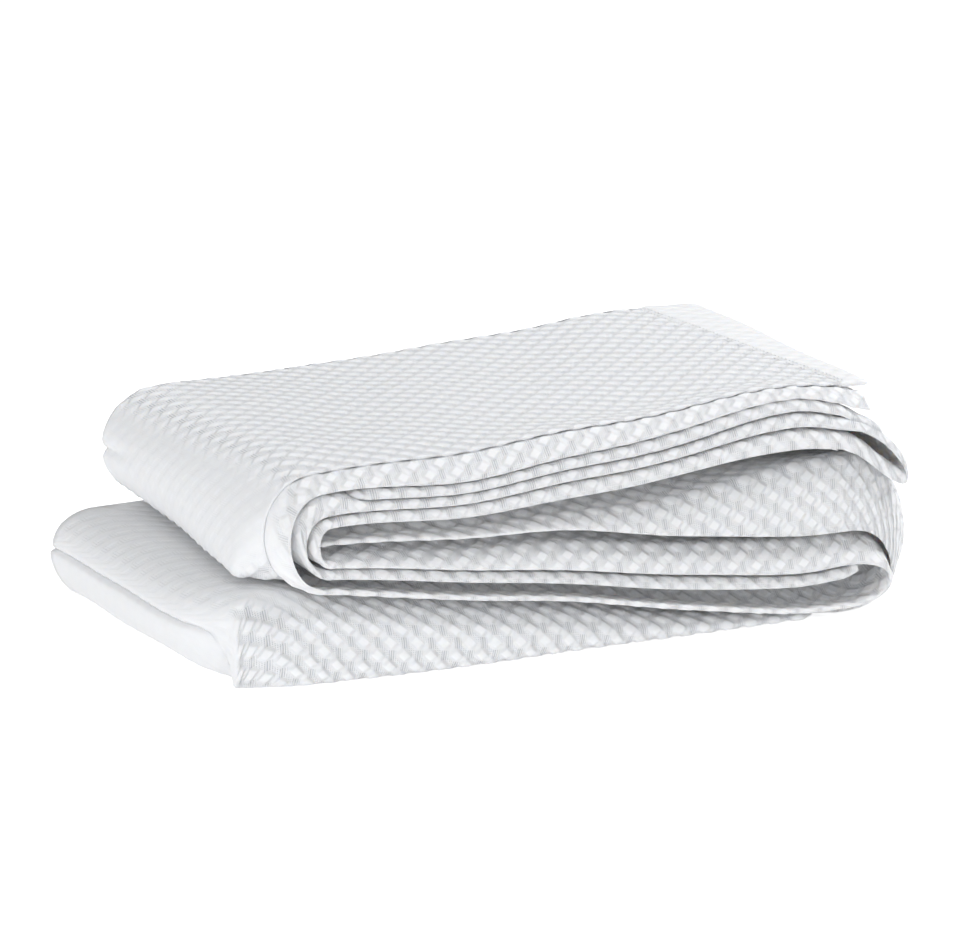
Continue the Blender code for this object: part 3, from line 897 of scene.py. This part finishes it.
def puffed_weave():
    """The weave: slanting rows of puffs, their edges in steps of a thread with pinholes along them, and
    beside each puff a few threads that stand apart with gaps between them. Its last output is painted shade
    for the colour: dark in the gaps and pinholes, faint on the bare threads."""
    group, start, end = new_group(
        "puffed weave",
        [("Along", 0.0), ("Across", 0.0), ("Puff Length", PUFF[0] * MM), ("Row Height", PUFF[1] * MM),
         ("Gap Place", GAP_PLACE)],
        ["Puff", "Threads", "Painted Shade"])
    two_rows = product(group, start.outputs["Row Height"], 2.0)
    u = math_node(group, "DIVIDE", start.outputs["Along"], start.outputs["Puff Length"])
    v = math_node(group, "DIVIDE", start.outputs["Across"], two_rows)
    step_u, step_v = stepped(group, u, THREADS), stepped(group, v, 2 * PICKS)
    rising, falling = slants(group, u, v)
    step_rising, step_falling = slants(group, step_u, step_v)
    puff = product(group, smooth_step(group, falling, *SOFT_SLANT), notched(group, rising, SOFT_NOTCH))
    raised = product(group, smooth_step(group, step_falling, *STEP_SLANT),
                     notched(group, step_rising, STEP_NOTCH))

    bare = bare_threads(group, step_u, step_v, start.outputs["Gap Place"])
    gaps = product(group, bare, smooth_step(group, cosine(group, u, THREADS), *THREAD_GAP))
    pinhole = product(group, smooth_step(group, cosine(group, u, THREADS), *PINHOLE),
                      smooth_step(group, cosine(group, v, 2 * PICKS), *PINHOLE))
    holes = product(group, smooth_step(group, step_falling, *STEP_EDGE), pinhole)
    sunk = math_node(group, "MAXIMUM", gaps, product(group, holes, HOLE_DEPTH))
    threads = math_node(group, "SUBTRACT", product(group, raised, STEP_RISE), product(group, sunk, SINK))
    # painted shade: dark in the sunk gaps and pinholes, faint on the bare threads beside each puff
    painted_shade = math_node(group, "MAXIMUM", product(group, sunk, SUNK_PAINTED_SHADE), product(group, bare, BARE_PAINTED_SHADE))
    for label, value in (("Puff", puff), ("Threads", threads), ("Painted Shade", painted_shade)):
        group.links.new(value, end.inputs[label])
    return group


def cotton_material(name):
    material = bpy.data.materials.new(name)
    material.use_nodes = True
    shader = material.node_tree.nodes["Principled BSDF"]
    shader.inputs["Base Color"].default_value = WHITE
    shader.inputs["Roughness"].default_value = 0.92
    shader.inputs["Specular IOR Level"].default_value = 0.2
    shader.inputs["Subsurface Weight"].default_value = 0.35
    shader.inputs["Subsurface Radius"].default_value = (1.0, 0.85, 0.7)
    shader.inputs["Subsurface Scale"].default_value = 0.004
    shader.inputs["Sheen Weight"].default_value = 0.15
    shader.inputs["Sheen Roughness"].default_value = 0.6
    return material, material.node_tree, shader


def bump(tree, height, distance, strength, normal=None):
    node = tree.nodes.new("ShaderNodeBump")
    node.inputs["Distance"].default_value = distance * MM
    tree.links.new(height, node.inputs["Height"])
    plug(tree, strength, node.inputs["Strength"])
    if normal:
        tree.links.new(normal, node.inputs["Normal"])
    return node.outputs["Normal"]


def value_of(tree, label):
    node = tree.nodes.new("ShaderNodeAttribute")
    node.attribute_name = label
    return node.outputs["Fac"]


def noise(tree, scale):
    """Fine noise over the piece. Returns its node."""
    place = tree.nodes.new("ShaderNodeTexCoord")
    node = tree.nodes.new("ShaderNodeTexNoise")
    tree.links.new(place.outputs["Object"], node.inputs["Vector"])
    node.inputs["Scale"].default_value = scale
    return node


def cloth_material():
    material, tree, shader = cotton_material("white woven cotton")
    uv = tree.nodes.new("ShaderNodeUVMap")
    uv.uv_map = "weave"
    split = tree.nodes.new("ShaderNodeSeparateXYZ")
    tree.links.new(uv.outputs["UV"], split.inputs["Vector"])
    weave = tree.nodes.new("ShaderNodeGroup")
    weave.node_tree = puffed_weave()
    tree.links.new(split.outputs["X"], weave.inputs["Along"])
    tree.links.new(split.outputs["Y"], weave.inputs["Across"])
    relief, seam = value_of(tree, "relief"), value_of(tree, "seam")
    fuzz = noise(tree, FUZZ_SCALE)
    fuzz.inputs["Detail"].default_value = 2.0
    coarse = bump(tree, weave.outputs["Puff"], PUFF_BUMP, relief)
    fine = bump(tree, weave.outputs["Threads"], THREAD_BUMP, relief, coarse)
    soft = bump(tree, fuzz.outputs["Fac"], FUZZ_BUMP, product(tree, relief, FUZZ_STRENGTH), fine)
    tree.links.new(soft, shader.inputs["Normal"])
    # painted shade in the colour: the weave's gaps, pinholes and bare threads, less where the cloth is drawn
    # tight, and the cloth along the stitches
    painted_shade = product(tree, weave.outputs["Painted Shade"], math_node(tree, "POWER", relief, PAINTED_SHADE_POWER))
    # painted shade on the cloth along the stitches, where they pull it down
    painted_shade = math_node(tree, "MAXIMUM", painted_shade, product(tree, seam, SEAM_PAINTED_SHADE))
    colour = tree.nodes.new("ShaderNodeMix")
    colour.data_type = "RGBA"
    colour.inputs["A"].default_value = WHITE
    colour.inputs["B"].default_value = PAINTED_SHADE
    tree.links.new(painted_shade, colour.inputs["Factor"])
    tree.links.new(colour.outputs["Result"], shader.inputs["Base Color"])
    return material


def thread_material():
    material, tree, shader = cotton_material("white sewing thread")
    twist = noise(tree, TWIST_SCALE)
    tree.links.new(bump(tree, twist.outputs["Fac"], TWIST_BUMP, TWIST_STRENGTH), shader.inputs["Normal"])
    return material


# ---------------------------------------------------------------- floor, light and camera

CAMERA_TURN = math.radians(-27.5)
CAMERA_RISE = math.radians(14.0)
CAMERA_REACH = 3.447            # from the camera to what it looks at
CAMERA_TARGET = Vector((152.6, -40.7, 137.9))
LENS = 200.0
FLOOR_REACH = 12.0
LIGHT_TARGET = Vector((0.0, 0.0, 0.08))
LIGHT_COLOUR = (0.98, 0.985, 1.0)
WORLD_LIGHT = 0.44
LIGHTS = (                      # name, place, size and power
    ("key", (1.2, -0.3, 2.0), (0.7, 0.7), 28.5),
    ("fill", (-2.2, -0.9, 0.6), (1.6, 1.0), 16.0),
    ("front", (0.1, -2.0, 1.7), (1.8, 1.0), 6.0),
)
FLOOR_GLOW = 0.26               # light from the floor, as from a lit backdrop
SEEN_GLOW = 0.36                # and this much more of it in view


def place_camera():
    data = bpy.data.cameras.new("camera")
    camera = bpy.data.objects.new("camera", data)
    bpy.context.scene.collection.objects.link(camera)
    flat = math.cos(CAMERA_RISE)
    back = Vector((math.sin(CAMERA_TURN) * flat, -math.cos(CAMERA_TURN) * flat, math.sin(CAMERA_RISE)))
    camera.location = (CAMERA_TARGET - Vector(HOME)) * MM + back * CAMERA_REACH
    camera.rotation_euler = back.to_track_quat("Z", "Y").to_euler()
    data.lens = LENS
    data.clip_end = 100.0
    bpy.context.scene.camera = camera


def area_light(name, place, size, power):
    data = bpy.data.lights.new(name, "AREA")
    data.shape = "RECTANGLE"
    data.size, data.size_y = size
    data.energy = power
    data.color = LIGHT_COLOUR
    light = bpy.data.objects.new(name, data)
    bpy.context.scene.collection.objects.link(light)
    light.location = place
    light.rotation_euler = (Vector(place) - LIGHT_TARGET).to_track_quat("Z", "Y").to_euler()


def floor_material():
    """A pale floor, lit from within like a backdrop, and more so to the camera than to the cloth."""
    material = bpy.data.materials.new("pale floor")
    material.use_nodes = True
    tree = material.node_tree
    shader = tree.nodes["Principled BSDF"]
    shader.inputs["Base Color"].default_value = (0.9, 0.9, 0.9, 1.0)
    shader.inputs["Roughness"].default_value = 0.9
    shader.inputs["Emission Color"].default_value = (1.0, 1.0, 1.0, 1.0)
    path = tree.nodes.new("ShaderNodeLightPath")
    glow = math_node(tree, "MULTIPLY_ADD", path.outputs["Is Camera Ray"], SEEN_GLOW, FLOOR_GLOW)
    tree.links.new(glow, shader.inputs["Emission Strength"])
    return material


def make_studio():
    mesh = bpy.data.meshes.new("floor")
    corners = [(x * FLOOR_REACH, y * FLOOR_REACH, 0) for x, y in ((-1, -1), (1, -1), (1, 1), (-1, 1))]
    mesh.from_pydata(corners, [], [(0, 1, 2, 3)])
    floor = bpy.data.objects.new("floor", mesh)
    bpy.context.scene.collection.objects.link(floor)
    mesh.materials.append(floor_material())
    world = bpy.data.worlds.new("studio")
    bpy.context.scene.world = world
    world.use_nodes = True
    background = world.node_tree.nodes["Background"]
    background.inputs["Color"].default_value = (0.98, 0.99, 1.0, 1.0)
    background.inputs["Strength"].default_value = WORLD_LIGHT
    for name, place, size, power in LIGHTS:
        area_light(name, place, size, power)
    bpy.context.scene.view_settings.view_transform = "Standard"


def main():
    cloth = build_sheet()
    cloth.data.materials.append(cloth_material())
    stitches = build_stitches(thread_material())
    for piece in (cloth, stitches):
        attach(piece, "root")
    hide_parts("coverlet")
    make_studio()
    place_camera()


main()
